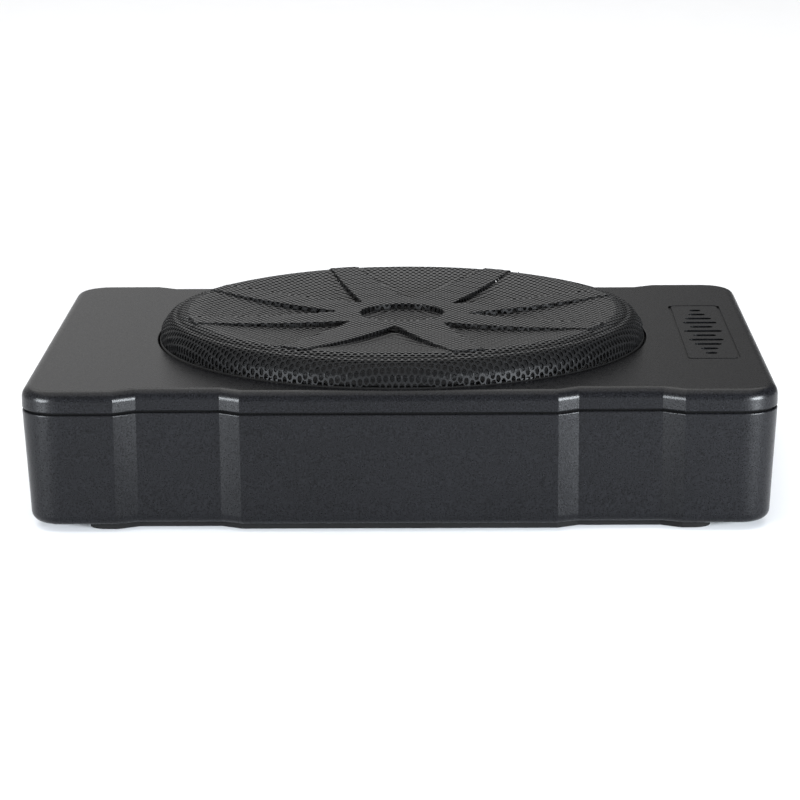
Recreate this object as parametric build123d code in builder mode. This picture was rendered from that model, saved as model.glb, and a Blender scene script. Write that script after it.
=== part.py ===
"""Powered car subwoofer: a flat moulded tub with an amplifier and its controls inside,
a screwed-on lid, and a slim ten inch woofer under a perforated steel grille.
Millimetres, +X to the right, the front towards -Y, +Z up, and the origin at the
middle of the underside."""

import os

from build123d import *

os.makedirs("parts", exist_ok=True)

UP = (Align.CENTER, Align.CENTER, Align.MIN)
DOWN = (Align.CENTER, Align.CENTER, Align.MAX)

# ---- Driving dimensions ------------------------------------------------------

# enclosure
WIDTH = 370.0
DEPTH = 266.0
CORNER_R = 18.5
WALL = 3.0
DRAFT = 3.2  # inset of the tub's outline at its foot
PLATE_T = 3.0  # base plate, whose underside is Z = 0
PLATE_X, PLATE_Y = 153.0, 124.0  # its half-width and half-depth
PLATE_RECESS = 5.0
FLOOR_Z = PLATE_T + WALL
SEAM_Z = 59.5  # rim of the tub
COVER_Z = 60.5  # rim of the lid, a millimetre above the tub's
TOP_Z = 71.0
TUB_EDGE_R = 5.0
LID_EDGE_R = 5.0
SEAM_EDGE_R = 0.6  # softened edges at the seam and round the opening

# shallow recesses in the front and the back: half-widths of their corners
RECESS_X = (77.4, 87.5, 128.2, 138.7)
RECESS = 5.9
RECESS_FOOT = 4.0

# woofer opening
OPENING_R = 127.8  # ten inch grille and a gap round it
LEDGE_Z = 66.0
LEDGE_T = 3.0
THROAT_R = 111.0
FLANGE_R = 122.0
WOOFER_SCREW_R = 117.0
WOOFER_SCREWS = 8
WOOFER_SCREW_TURN = 22.5
WOOFER_HOLE_R = 1.7

# grille
GRILLE_R = 126.8
SHEET = 1.2
CREST_R = 112.0  # where the flat face turns down to the skirt
CREST_Z, FLOOR_CREST_Z = 86.2, 85.5
SPOKES = 8
SPOKE_TURN = 62.5  # heading of the first spoke
SPOKE_HUB_W = 25.4
SPOKE_TIP_W = 15.6
SPOKE_END_R = 113.5
HUB_R = 35.0
HUB_DISH_R = 22.0
# (radius, height) along the raised star, along the face between the spokes, and down
# the shoulder; each point of the shoulder has its outward direction
FACE = ((0, 81.0), (40, 81.1), (70, 81.8), (95, 83.9), (108, 85.8))
FLOOR_OF_FACE = ((0, 78.0), (40, 78.4), (70, 79.7), (95, 82.7), (108, 85.2))
SHOULDER = ((CREST_R, CREST_Z), (117, 84.9), (123.4, 81.2), (GRILLE_R, 76.0))
SHOULDER_OUT = ((0, 1), (0.4, 0.9), (0.75, 0.66), (1, 0))

# moving assembly of the woofer
FLANGE_Z = LEDGE_Z + 1.0  # on its gasket
FLANGE_T = 1.6
ROLL_R = 98.0
ROLL_H = 7.5
ROLL_W = 10.0
CONE_R = 88.0
COIL_R = 25.0
NECK_Z = 50.0
MAGNET_R = 65.0
MAGNET_Z = (8.0, 14.0, 28.0, 34.0)  # yoke, magnet, top plate, top of the gap
SHELF_Z = 44.0
SHELF_R = (62.0, 72.0)
COIL_OUT_R = 25.2
COIL_Z = (24.0, 38.0)
POLE_R = 24.2
GAP_R = 26.9
VENT_R = 8.0
PAD_R, PAD_HOLE_R = 50.0, 12.0
MOTOR_SCREW_R = 48.0
MOTOR_SCREWS = 6
RUBBER_T = 1.2
CAP_R = 34.0
CAP_TOP = 64.0
TERMINAL_R = 90.5
TERMINAL_T, TERMINAL_W, TERMINAL_H = 3.0, 18.0, 14.0
TERMINAL_Z = 48.0
TERMINAL_TURN = 202.5

# rear connector bay
BAY_W, BAY_H = 144.0, 46.0
BAY_MID_Z = 33.0
BAY_LIP = 6.0
BAY_Y = 119.0  # step that the panel sits on
PANEL_T = 2.0
PANEL_Y = BAY_Y + PANEL_T  # outer face of the panel
BOARD_T = 1.6
INPUT_Y = 104.6  # rear face of the input board
INPUT_W, INPUT_H = 129.0, 34.0
POWER_X, JACK_X, RCA_X, SWITCH_X = -52.0, -29.0, -12.0, 59.0
KNOB_X = {"gain_knob": 8.0, "lowpass_knob": 25.0, "bass_knob": 42.0}
KNOB_R = 6.0
KNOB_LONG = 8.5
SHAFT_LONG = 11.0
SLIDER_Y = 112.0
LED_Z = 48.0
RCA_LONG = 9.0
SHAFT_R = 3.0
RUNNING = 0.05
POT_DEPTH = 14.4
SWITCH_Z = {"phase_switch": 43.0, "mode_switch": 23.0}
SWITCH_TRAVEL = 3.0

# amplifier board in the left-hand bay
BOARD_X = (-163.0, -84.0)
BOARD_Y = 82.0
BOARD_Z = 12.0
BOARD_TOP = BOARD_Z + BOARD_T

# fasteners
MOUNT_X, MOUNT_Y = 280.0, 180.0  # M5 holes for the floor brackets
MOUNT_R = 2.5
FOOT_X, FOOT_Y = 200.0, 210.0
CORNER_SCREW = (167.0, 114.5)
SIDE_SCREW = (171.0, 45.0)
COUNTERBORE_Z = 40.0
COVER_SCREW_TOP = 66.0

# engraved badge
BADGE_X, BADGE_Y = 158.3, 4.0
BADGE_W, BADGE_LONG, BADGE_LINE = 27.8, 133.0, 1.5
BADGE_BARS = (6.0, 9.0, 14.0, 18.0, 12.0, 20.0, 12.0, 18.0, 14.0, 9.0, 6.0)
BADGE_BAR_W = 4.6
BADGE_PITCH = 10.6
BADGE_DEEP = 0.8

HALF = Plane.XZ  # half-sections that are revolved about Z


def mirrored(x, y):
    """The four places of one fastener, one in each quarter of the plan."""
    return [(x, y), (-x, y), (x, -y), (-x, -y)]


PANEL_SCREWS = [(x, z) for x in (-69.0, 69.0) for z in (12.7, 53.3)]
COVER_SCREWS = mirrored(*CORNER_SCREW) + mirrored(*SIDE_SCREW)


def outline(inset, recess):
    """The plan outline, filled, with its recesses in the two long sides."""
    x, y = WIDTH / 2 - inset, DEPTH / 2 - inset
    a, b, c, d = RECESS_X
    side = [(a, y), (b, y - recess), (c, y - recess), (d, y), (x, y)]
    right = side + [(px, -py) for px, py in reversed(side)]
    left = [(-px, py) for px, py in reversed(right)]
    with BuildSketch() as plan:
        with BuildLine():
            Polyline(*right, *left, close=True)
        make_face()
        fillet(plan.vertices().filter_by(lambda v: abs(v.X) > d + 1), CORNER_R - inset)
    return plan.sketch


def turned(*corners):
    """A solid of revolution about Z, from its half-section as (radius, height)."""
    with BuildPart() as body:
        with BuildSketch(HALF):
            with BuildLine():
                Polyline(*corners, close=True)
            make_face()
        revolve(axis=Axis.Z)
    return body.part


# ---- Base plate --------------------------------------------------------------

with BuildPart() as base_plate:
    a, b, c, d = RECESS_X
    near = PLATE_Y - PLATE_RECESS
    plate_side = [(a, PLATE_Y), (b, near), (c, near), (d, PLATE_Y), (PLATE_X, PLATE_Y)]
    plate_right = plate_side + [(px, -py) for px, py in reversed(plate_side)]
    with BuildSketch():
        with BuildLine():
            Polyline(*plate_right, *[(-px, py) for px, py in reversed(plate_right)], close=True)
        make_face()
        fillet(vertices().filter_by(lambda v: abs(v.X) > PLATE_X - 1), 8)
    extrude(amount=PLATE_T)
    with GridLocations(MOUNT_X, MOUNT_Y, 2, 2):
        Hole(MOUNT_R)
    with GridLocations(FOOT_X, FOOT_Y, 2, 2):
        Hole(1.6)
        Cone(3.2, 1.6, 1.6, align=UP, mode=Mode.SUBTRACT)
base_plate.part.label = "base_plate"
export_step(base_plate.part, "parts/base_plate.step")

with BuildPart() as base_plate_screws:
    with GridLocations(FOOT_X, FOOT_Y, 2, 2):
        Cone(3.2, 1.6, 1.6, align=UP)
        Cylinder(1.6, 11, align=UP)
    with BuildSketch():
        with GridLocations(FOOT_X, FOOT_Y, 2, 2):
            RegularPolygon(1.2, 6)
    extrude(amount=1.0, mode=Mode.SUBTRACT)
base_plate_screws.part.label = "base_plate_screws"
export_step(base_plate_screws.part, "parts/base_plate_screws.step")

# ---- Tub ---------------------------------------------------------------------

with BuildPart() as lower_shell:
    with BuildSketch(Plane.XY.offset(PLATE_T)):
        add(outline(DRAFT, RECESS_FOOT))
    with BuildSketch(Plane.XY.offset(SEAM_Z)):
        add(outline(0, RECESS))
    loft(ruled=True)
    fillet(faces().sort_by(Axis.Z)[0].edges(), TUB_EDGE_R)
    fillet(faces().sort_by(Axis.Z)[-1].edges(), SEAM_EDGE_R)
    with BuildSketch(Plane.XY.offset(FLOOR_Z)):
        add(outline(DRAFT + WALL, RECESS_FOOT))
    with BuildSketch(Plane.XY.offset(SEAM_Z)):
        add(outline(WALL, RECESS))
    loft(ruled=True, mode=Mode.SUBTRACT)
    # posts for the lid screws, tied to the short sides by ribs
    with Locations(Location((0, 0, FLOOR_Z - 1))):
        with Locations(*COVER_SCREWS):
            Cylinder(6.5, SEAM_Z - FLOOR_Z + 1, align=UP)
        with Locations(*mirrored(SIDE_SCREW[0] + 5, SIDE_SCREW[1])):
            Box(9, 2.4, SEAM_Z - FLOOR_Z - 1, align=UP)
        with GridLocations(MOUNT_X, MOUNT_Y, 2, 2):
            Cylinder(6, 9, align=UP)
        with GridLocations(FOOT_X, FOOT_Y, 2, 2):
            Cylinder(4.5, 9, align=UP)
    # frame of the connector bay
    with Locations((0, BAY_Y - 4, FLOOR_Z - 1)):
        Box(BAY_W + 2 * BAY_LIP, 14.5, SEAM_Z - FLOOR_Z - 1, align=(Align.CENTER, Align.MIN, Align.MIN))
    with Locations((0, BAY_Y, BAY_MID_Z)):
        Box(BAY_W, 20, BAY_H, align=(Align.CENTER, Align.MIN, Align.CENTER), mode=Mode.SUBTRACT)
        Box(BAY_W - 2 * BAY_LIP, 20, BAY_H - 10, mode=Mode.SUBTRACT)
    # screw holes, bored from below
    for x, z in PANEL_SCREWS:
        with Locations((x, BAY_Y, z)):
            Cylinder(1.25, 5, rotation=(90, 0, 0), align=UP, mode=Mode.SUBTRACT)
    with Locations(*COVER_SCREWS):
        Cylinder(2.2, SEAM_Z + 1, align=UP, mode=Mode.SUBTRACT)
        Cylinder(4.2, COUNTERBORE_Z, align=UP, mode=Mode.SUBTRACT)
    with GridLocations(MOUNT_X, MOUNT_Y, 2, 2):
        Cylinder(MOUNT_R, 12, align=UP, mode=Mode.SUBTRACT)
    with GridLocations(FOOT_X, FOOT_Y, 2, 2):
        Cylinder(1.6, 12, align=UP, mode=Mode.SUBTRACT)
lower_shell.part.label = "lower_shell"
export_step(lower_shell.part, "parts/lower_shell.step")

# ---- Lid ---------------------------------------------------------------------

with BuildPart() as top_cover:
    with BuildSketch(Plane.XY.offset(COVER_Z)):
        add(outline(0, RECESS))
    extrude(amount=TOP_Z - COVER_Z)
    fillet(faces().sort_by(Axis.Z)[-1].edges(), LID_EDGE_R)
    fillet(faces().sort_by(Axis.Z)[0].edges(), SEAM_EDGE_R)
    with BuildSketch(Plane.XY.offset(COVER_Z)):
        add(outline(WALL, RECESS))
    extrude(amount=TOP_Z - COVER_Z - WALL, mode=Mode.SUBTRACT)
    # recessed ledge for the woofer and the grille
    with Locations((0, 0, LEDGE_Z - LEDGE_T)):
        Cylinder(OPENING_R + WALL, TOP_Z - WALL - LEDGE_Z + LEDGE_T, align=UP)
        Cylinder(THROAT_R, TOP_Z, align=UP, mode=Mode.SUBTRACT)
    with Locations((0, 0, LEDGE_Z)):
        Cylinder(OPENING_R, TOP_Z, align=UP, mode=Mode.SUBTRACT)
    rim = edges().filter_by(GeomType.CIRCLE).filter_by(lambda e: abs(e.radius - OPENING_R) < 0.01)
    fillet(rim.sort_by(Axis.Z)[-1], SEAM_EDGE_R)
    with Locations(Location((0, 0, SEAM_Z))):
        with Locations(*COVER_SCREWS):
            Cylinder(6.5, TOP_Z - WALL - SEAM_Z, align=UP)
            Cylinder(2.0, COVER_SCREW_TOP - SEAM_Z, align=UP, mode=Mode.SUBTRACT)
    with Locations(Location((0, 0, LEDGE_Z - LEDGE_T))):
        with PolarLocations(WOOFER_SCREW_R, WOOFER_SCREWS, start_angle=WOOFER_SCREW_TURN):
            Cylinder(WOOFER_HOLE_R, LEDGE_T, align=UP, mode=Mode.SUBTRACT)
    # engraved badge: a thin frame and a row of sound-level bars
    with BuildSketch(Plane.XY.offset(TOP_Z)):
        with Locations((BADGE_X, BADGE_Y)):
            RectangleRounded(BADGE_W, BADGE_LONG, 4)
            inner = (BADGE_W - 2 * BADGE_LINE, BADGE_LONG - 2 * BADGE_LINE)
            RectangleRounded(*inner, 4 - BADGE_LINE, mode=Mode.SUBTRACT)
        for place, bar in enumerate(BADGE_BARS):
            with Locations((BADGE_X, BADGE_Y + (place - len(BADGE_BARS) // 2) * BADGE_PITCH)):
                SlotOverall(bar, BADGE_BAR_W)
    extrude(amount=-BADGE_DEEP, mode=Mode.SUBTRACT)
top_cover.part.label = "top_cover"
export_step(top_cover.part, "parts/top_cover.step")

with BuildPart() as cover_gasket:
    with BuildSketch(Plane.XY.offset(SEAM_Z)):
        add(outline(1.6, RECESS))
        add(outline(WALL, RECESS), mode=Mode.SUBTRACT)
    extrude(amount=COVER_Z - SEAM_Z)
cover_gasket.part.label = "cover_gasket"
export_step(cover_gasket.part, "parts/cover_gasket.step")

with BuildPart() as cover_screws:
    with Locations(Location((0, 0, COUNTERBORE_Z))):
        with Locations(*COVER_SCREWS):
            Cylinder(3.6, 3, align=DOWN)
            Cylinder(2.0, COVER_SCREW_TOP - COUNTERBORE_Z, align=UP)
    with BuildSketch(Plane.XY.offset(COUNTERBORE_Z - 3)):
        with Locations(*COVER_SCREWS):
            RegularPolygon(1.8, 6)
    extrude(amount=1.8, mode=Mode.SUBTRACT)
cover_screws.part.label = "cover_screws"
export_step(cover_screws.part, "parts/cover_screws.step")

# ---- Grille ------------------------------------------------------------------


def face_solid(face, crest, drop):
    """What lies under one level of the grille's face, lowered by a sheet's thickness."""
    slope = [(r - drop * x, z - drop * y) for (r, z), (x, y) in zip(SHOULDER, SHOULDER_OUT)]
    slope[0] = (CREST_R, crest - drop)
    with BuildPart() as level:
        with BuildSketch(HALF):
            with BuildLine():
                Spline(*[(r, z - drop) for r, z in face], slope[0], tangents=((1, 0), (1, 0.15)))
                Spline(*slope)
                Polyline(slope[-1], (slope[-1][0], LEDGE_Z), (0, LEDGE_Z), (0, face[0][1] - drop))
            make_face()
        revolve(axis=Axis.Z)
    return level.part


def star(inset):
    """Plan of the raised spokes and the hub ring that joins them."""
    root, tip = SPOKE_HUB_W / 2 - inset, SPOKE_TIP_W / 2 - inset
    end = SPOKE_END_R - inset
    with BuildSketch() as plan:
        Circle(HUB_R - inset)
        with PolarLocations(0, SPOKES, start_angle=SPOKE_TURN):
            Polygon((HUB_R - 5, root), (end, tip), (end, -tip), (HUB_R - 5, -root), align=None)
        Circle(HUB_DISH_R + inset, mode=Mode.SUBTRACT)
    return plan.sketch


def embossed(drop):
    """Everything under the grille's skin, with the star standing on the lower face."""
    with BuildPart() as body:
        with BuildSketch(Plane.XY.offset(LEDGE_Z)):
            add(star(drop))
        extrude(amount=CREST_Z - LEDGE_Z + 1)
        add(face_solid(FACE, CREST_Z, drop), mode=Mode.INTERSECT)
        add(face_solid(FLOOR_OF_FACE, FLOOR_CREST_Z, drop))
    return body.part


with BuildPart() as grille:
    add(embossed(0))
    add(embossed(SHEET), mode=Mode.SUBTRACT)
grille.part.label = "grille"
export_step(grille.part, "parts/grille.step")

with BuildPart() as grille_clips:
    with Locations(Location((0, 0, LEDGE_Z))):
        with PolarLocations(GRILLE_R - SHEET - 0.3, 6):
            Box(1, 8, 6, align=(Align.MAX, Align.CENTER, Align.MIN))
            Box(3.2, 8, 0.8, align=(Align.MAX, Align.CENTER, Align.MIN))
grille_clips.part.label = "grille_clips"
export_step(grille_clips.part, "parts/grille_clips.step")

# ---- Woofer: frame and motor -------------------------------------------------

YOKE_Z, MAGNET_BASE_Z, WASHER_Z, GAP_TOP_Z = MAGNET_Z
FRAME_FOOT_Z = GAP_TOP_Z + 2
FLANGE_TOP = FLANGE_Z + FLANGE_T

with BuildPart() as woofer_gasket:
    with BuildSketch(Plane.XY.offset(LEDGE_Z)):
        Circle(FLANGE_R)
        Circle(THROAT_R + 1, mode=Mode.SUBTRACT)
        with PolarLocations(WOOFER_SCREW_R, WOOFER_SCREWS, start_angle=WOOFER_SCREW_TURN):
            Circle(WOOFER_HOLE_R, mode=Mode.SUBTRACT)
    extrude(amount=FLANGE_Z - LEDGE_Z)
woofer_gasket.part.label = "woofer_gasket"
export_step(woofer_gasket.part, "parts/woofer_gasket.step")

with BuildPart() as woofer_basket:
    inner, outer = SHELF_R
    add(
        turned(
            (106.6, FLANGE_Z),
            (FLANGE_R, FLANGE_Z),
            (FLANGE_R, FLANGE_TOP),
            (104.6, FLANGE_TOP),
            (outer - 1, SHELF_Z + 1.6),
            (inner, SHELF_Z + 1.6),
            (inner, FRAME_FOOT_Z),
            (29, FRAME_FOOT_Z),
            (29, GAP_TOP_Z),
            (inner + 1.6, GAP_TOP_Z),
            (inner + 1.6, SHELF_Z),
            (outer + 0.6, SHELF_Z),
        )
    )
    with BuildSketch(Plane.XY.offset(SHELF_Z)):
        with PolarLocations(89, WOOFER_SCREWS):
            RectangleRounded(24, 40, 5)
    extrude(amount=FLANGE_Z - SHELF_Z, mode=Mode.SUBTRACT)
    with Locations(Location((0, 0, FLANGE_Z))):
        with PolarLocations(WOOFER_SCREW_R, WOOFER_SCREWS, start_angle=WOOFER_SCREW_TURN):
            Cylinder(WOOFER_HOLE_R, FLANGE_T, align=UP, mode=Mode.SUBTRACT)
    with Locations(Location((0, 0, GAP_TOP_Z))):
        with PolarLocations(MOTOR_SCREW_R, MOTOR_SCREWS):
            Cylinder(1.5, 2, align=UP, mode=Mode.SUBTRACT)
    # shelf for the terminals, on the rib nearest the amplifier
    with Locations(Location((0, 0, TERMINAL_Z), (0, 0, TERMINAL_TURN))):
        with Locations((TERMINAL_R, 0, 3)):
            Box(9, 16, 3, align=(Align.MAX, Align.CENTER, Align.CENTER))
woofer_basket.part.label = "woofer_basket"
export_step(woofer_basket.part, "parts/woofer_basket.step")

with BuildPart() as woofer_screws:
    with Locations(Location((0, 0, FLANGE_TOP))):
        with PolarLocations(WOOFER_SCREW_R, WOOFER_SCREWS, start_angle=WOOFER_SCREW_TURN):
            Cylinder(3.3, 2, align=UP)
            Cylinder(WOOFER_HOLE_R, FLANGE_TOP - LEDGE_Z + LEDGE_T, align=DOWN)
    with BuildSketch(Plane.XY.offset(FLANGE_TOP + 2)):
        with PolarLocations(WOOFER_SCREW_R, WOOFER_SCREWS, start_angle=WOOFER_SCREW_TURN):
            RegularPolygon(1.5, 6)
    extrude(amount=-1.2, mode=Mode.SUBTRACT)
woofer_screws.part.label = "woofer_screws"
export_step(woofer_screws.part, "parts/woofer_screws.step")

with BuildPart() as top_plate:
    with Locations((0, 0, WASHER_Z)):
        Cylinder(MAGNET_R - 5, GAP_TOP_Z - WASHER_Z, align=UP)
        Cylinder(GAP_R, GAP_TOP_Z - WASHER_Z, align=UP, mode=Mode.SUBTRACT)
    with Locations(Location((0, 0, GAP_TOP_Z - 4))):
        with PolarLocations(MOTOR_SCREW_R, MOTOR_SCREWS):
            Cylinder(1.5, 4, align=UP, mode=Mode.SUBTRACT)
top_plate.part.label = "top_plate"
export_step(top_plate.part, "parts/top_plate.step")

with BuildPart() as motor_screws:
    with Locations(Location((0, 0, FRAME_FOOT_Z))):
        with PolarLocations(MOTOR_SCREW_R, MOTOR_SCREWS):
            Cylinder(2.8, 1.6, align=UP)
            Cylinder(1.5, 6, align=DOWN)
motor_screws.part.label = "motor_screws"
export_step(motor_screws.part, "parts/motor_screws.step")

with BuildPart() as magnet:
    with Locations((0, 0, MAGNET_BASE_Z)):
        Cylinder(MAGNET_R, WASHER_Z - MAGNET_BASE_Z, align=UP)
        Cylinder(COIL_R + 4, WASHER_Z, align=UP, mode=Mode.SUBTRACT)
    chamfer(edges().group_by(Axis.Z)[0], 1)
    chamfer(edges().group_by(Axis.Z)[-1], 1)
magnet.part.label = "magnet"
export_step(magnet.part, "parts/magnet.step")

with BuildPart() as pole_yoke:
    with Locations((0, 0, YOKE_Z)):
        Cylinder(MAGNET_R - 5, MAGNET_BASE_Z - YOKE_Z, align=UP)
        Cylinder(POLE_R, GAP_TOP_Z - YOKE_Z, align=UP)
    Cylinder(VENT_R, TOP_Z, align=UP, mode=Mode.SUBTRACT)
pole_yoke.part.label = "pole_yoke"
export_step(pole_yoke.part, "parts/pole_yoke.step")

with BuildPart() as magnet_pad:
    with Locations((0, 0, FLOOR_Z)):
        Cylinder(PAD_R, YOKE_Z - FLOOR_Z, align=UP)
        Cylinder(PAD_HOLE_R, YOKE_Z - FLOOR_Z, align=UP, mode=Mode.SUBTRACT)
magnet_pad.part.label = "magnet_pad"
export_step(magnet_pad.part, "parts/magnet_pad.step")

with BuildPart() as terminal_block:
    with Locations(Location((0, 0, TERMINAL_Z), (0, 0, TERMINAL_TURN))):
        with Locations((TERMINAL_R, 0, 0)):
            Box(TERMINAL_T, TERMINAL_W, TERMINAL_H, align=(Align.MIN, Align.CENTER, Align.CENTER))
terminal_block.part.label = "terminal_block"
export_step(terminal_block.part, "parts/terminal_block.step")

# ---- Woofer: moving assembly -------------------------------------------------

with BuildPart() as cone:
    add(
        turned(
            (CONE_R - 4.5, FLANGE_TOP),
            (CONE_R, FLANGE_TOP),
            (CONE_R, FLANGE_TOP - 1.2),
            (CONE_R - 4.2, FLANGE_TOP - 1.2),
            (COIL_OUT_R, NECK_Z - 1.3),
            (COIL_OUT_R, NECK_Z),
        )
    )
cone.part.label = "cone"
export_step(cone.part, "parts/cone.step")

# height of the cone's upper face at a radius
CONE_SLOPE = (FLANGE_TOP - NECK_Z) / (CONE_R - 4.5 - COIL_OUT_R)
CAP_RIM = [(r, NECK_Z + (r - COIL_OUT_R) * CONE_SLOPE) for r in (CAP_R - 3, CAP_R)]

with BuildPart() as dust_cap:
    with BuildSketch(HALF):
        with BuildLine():
            Spline((0, CAP_TOP), (CAP_R * 0.6, CAP_TOP - 3), CAP_RIM[1], tangents=((1, 0), (1, -0.9)))
            Line(CAP_RIM[1], CAP_RIM[0])
            Spline(
                CAP_RIM[0],
                (CAP_R * 0.55, CAP_TOP - 3.8),
                (0, CAP_TOP - 1.2),
                tangents=((-1, 0.9), (-1, 0)),
            )
            Line((0, CAP_TOP - 1.2), (0, CAP_TOP))
        make_face()
    revolve(axis=Axis.Z)
dust_cap.part.label = "dust_cap"
export_step(dust_cap.part, "parts/dust_cap.step")

with BuildPart() as voice_coil_former:
    with Locations((0, 0, COIL_Z[0] - 1.5)):
        Cylinder(COIL_OUT_R, NECK_Z - COIL_Z[0] + 1.5, align=UP)
        Cylinder(COIL_R - 0.2, TOP_Z, align=UP, mode=Mode.SUBTRACT)
voice_coil_former.part.label = "voice_coil_former"
export_step(voice_coil_former.part, "parts/voice_coil_former.step")

with BuildPart() as voice_coil:
    with Locations((0, 0, COIL_Z[0])):
        Cylinder(COIL_OUT_R + 1, COIL_Z[1] - COIL_Z[0], align=UP)
        Cylinder(COIL_OUT_R, TOP_Z, align=UP, mode=Mode.SUBTRACT)
voice_coil.part.label = "voice_coil"
export_step(voice_coil.part, "parts/voice_coil.step")

with BuildPart() as surround:
    with BuildSketch(HALF):
        near, far = ROLL_R - ROLL_W, ROLL_R + ROLL_W
        top = FLANGE_TOP + RUBBER_T
        with BuildLine():
            Line((near - 4, top), (near, top))
            ThreePointArc((near, top), (ROLL_R, top + ROLL_H), (far, top))
            Polyline((far, top), (far + 5, top), (far + 5, FLANGE_TOP), (far - 1, FLANGE_TOP))
            ThreePointArc(
                (far - 1, FLANGE_TOP), (ROLL_R, FLANGE_TOP + ROLL_H), (near + 1, FLANGE_TOP)
            )
            Polyline((near + 1, FLANGE_TOP), (near - 4, FLANGE_TOP), (near - 4, top))
        make_face()
    revolve(axis=Axis.Z)
surround.part.label = "surround"
export_step(surround.part, "parts/surround.step")

# corrugated suspension, glued to the shelf of the frame and round the former
SPIDER_Z = SHELF_Z + 1.6
with BuildPart() as spider:
    folds = [(r, SPIDER_Z + (2.4 if n % 2 else 0.2)) for n, r in enumerate(range(60, 27, -4))]
    ridge = [(SHELF_R[1] - 1.5, SPIDER_Z), (SHELF_R[0], SPIDER_Z), *folds, (COIL_OUT_R + 0.3, SPIDER_Z + 1)]
    add(turned(*ridge, *[(r, z + 0.8) for r, z in reversed(ridge)]))
spider.part.label = "spider"
export_step(spider.part, "parts/spider.step")

# ---- Connector bay -----------------------------------------------------------

ALONG_Y = {"rotation": (-90, 0, 0), "align": UP}
BEHIND = (Align.CENTER, Align.MIN, Align.CENTER)
SOCKETS = {
    "power_socket": (POWER_X, 26.0, 18.0, 14.0, 1.5),
    "speaker_level_socket": (JACK_X, 42.0, 12.0, 8.0, 1.2),
    "remote_jack": (JACK_X, 24.0, 13.0, 10.0, 1.4),
    "fuse_holder": (POWER_X, 43.0, 21.0, 8.0, 0.7),
}
SOCKET_FLOOR_Y = 109.0
RCA_Z = {"rca_left": 43.0, "rca_right": 23.0}
BARREL_R, BARREL_BORE = 4.15, 3.4

with BuildPart() as control_panel:
    with Locations((0, BAY_Y, BAY_MID_Z)):
        Box(BAY_W - 0.6, PANEL_T, BAY_H - 0.6, align=BEHIND)
    for x, z, wide, high, _ in SOCKETS.values():
        with Locations((x, BAY_Y, z)):
            Box(wide + 0.4, PANEL_T, high + 0.4, align=BEHIND, mode=Mode.SUBTRACT)
    for z in RCA_Z.values():
        with Locations((RCA_X, BAY_Y, z)):
            Cylinder(5.1, PANEL_T, mode=Mode.SUBTRACT, **ALONG_Y)
    for x in KNOB_X.values():
        with Locations((x, BAY_Y, BAY_MID_Z)):
            Cylinder(SHAFT_R + 0.6, PANEL_T, mode=Mode.SUBTRACT, **ALONG_Y)
    for z in SWITCH_Z.values():
        with Locations((SWITCH_X, BAY_Y, z)):
            Box(7.4, PANEL_T, 3.6, align=BEHIND, mode=Mode.SUBTRACT)
    with Locations((KNOB_X["lowpass_knob"], BAY_Y, LED_Z)):
        Cylinder(1.6, PANEL_T, mode=Mode.SUBTRACT, **ALONG_Y)
    for x, z in PANEL_SCREWS:
        with Locations((x, BAY_Y, z)):
            Cylinder(1.25, PANEL_T, mode=Mode.SUBTRACT, **ALONG_Y)
control_panel.part.label = "control_panel"
export_step(control_panel.part, "parts/control_panel.step")

with BuildPart() as panel_screws:
    for x, z in PANEL_SCREWS:
        with Locations((x, PANEL_Y, z)):
            Cylinder(2.2, 1.4, **ALONG_Y)
            Box(3.2, 3, 0.7, align=BEHIND, mode=Mode.SUBTRACT)
            Cylinder(1.25, 7, rotation=(90, 0, 0), align=UP)
panel_screws.part.label = "panel_screws"
export_step(panel_screws.part, "parts/panel_screws.step")

with BuildPart() as input_board:
    with Locations((0.5, INPUT_Y, BAY_MID_Z)):
        Box(INPUT_W, BOARD_T, INPUT_H, align=(Align.CENTER, Align.MAX, Align.CENTER))
input_board.part.label = "input_board"
export_step(input_board.part, "parts/input_board.step")

for name, (x, z, wide, high, wall) in SOCKETS.items():
    with BuildPart() as socket:
        with Locations((x, INPUT_Y, z)):
            Box(wide, PANEL_Y + 1 - INPUT_Y, high, align=BEHIND)
        with Locations((x, SOCKET_FLOOR_Y, z)):
            Box(wide - 2 * wall, 20, high - 2 * wall, align=BEHIND, mode=Mode.SUBTRACT)
    socket.part.label = name
    export_step(socket.part, f"parts/{name}.step")

with BuildPart() as power_pins:
    with Locations(Location((POWER_X, SOCKET_FLOOR_Y, SOCKETS["power_socket"][1]), (-90, 0, 0))):
        with GridLocations(4.8, 5, 3, 2):
            Cylinder(0.8, 9, align=UP)
power_pins.part.label = "power_pins"
export_step(power_pins.part, "parts/power_pins.step")

with BuildPart() as speaker_level_pins:
    with Locations(Location((JACK_X, SOCKET_FLOOR_Y, SOCKETS["speaker_level_socket"][1]), (-90, 0, 0))):
        with GridLocations(2.4, 1, 4, 1):
            Box(0.6, 0.6, 9, align=UP)
speaker_level_pins.part.label = "speaker_level_pins"
export_step(speaker_level_pins.part, "parts/speaker_level_pins.step")

with BuildPart() as fuse:
    with Locations((POWER_X, SOCKET_FLOOR_Y + 5, SOCKETS["fuse_holder"][1])):
        Box(19, 9.5, 5, align=BEHIND)
    with Locations((POWER_X, SOCKET_FLOOR_Y, SOCKETS["fuse_holder"][1])):
        with GridLocations(12, 0, 2, 1):
            Box(5, 5, 0.7, align=BEHIND)
fuse.part.label = "fuse"
export_step(fuse.part, "parts/fuse.step")

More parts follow.
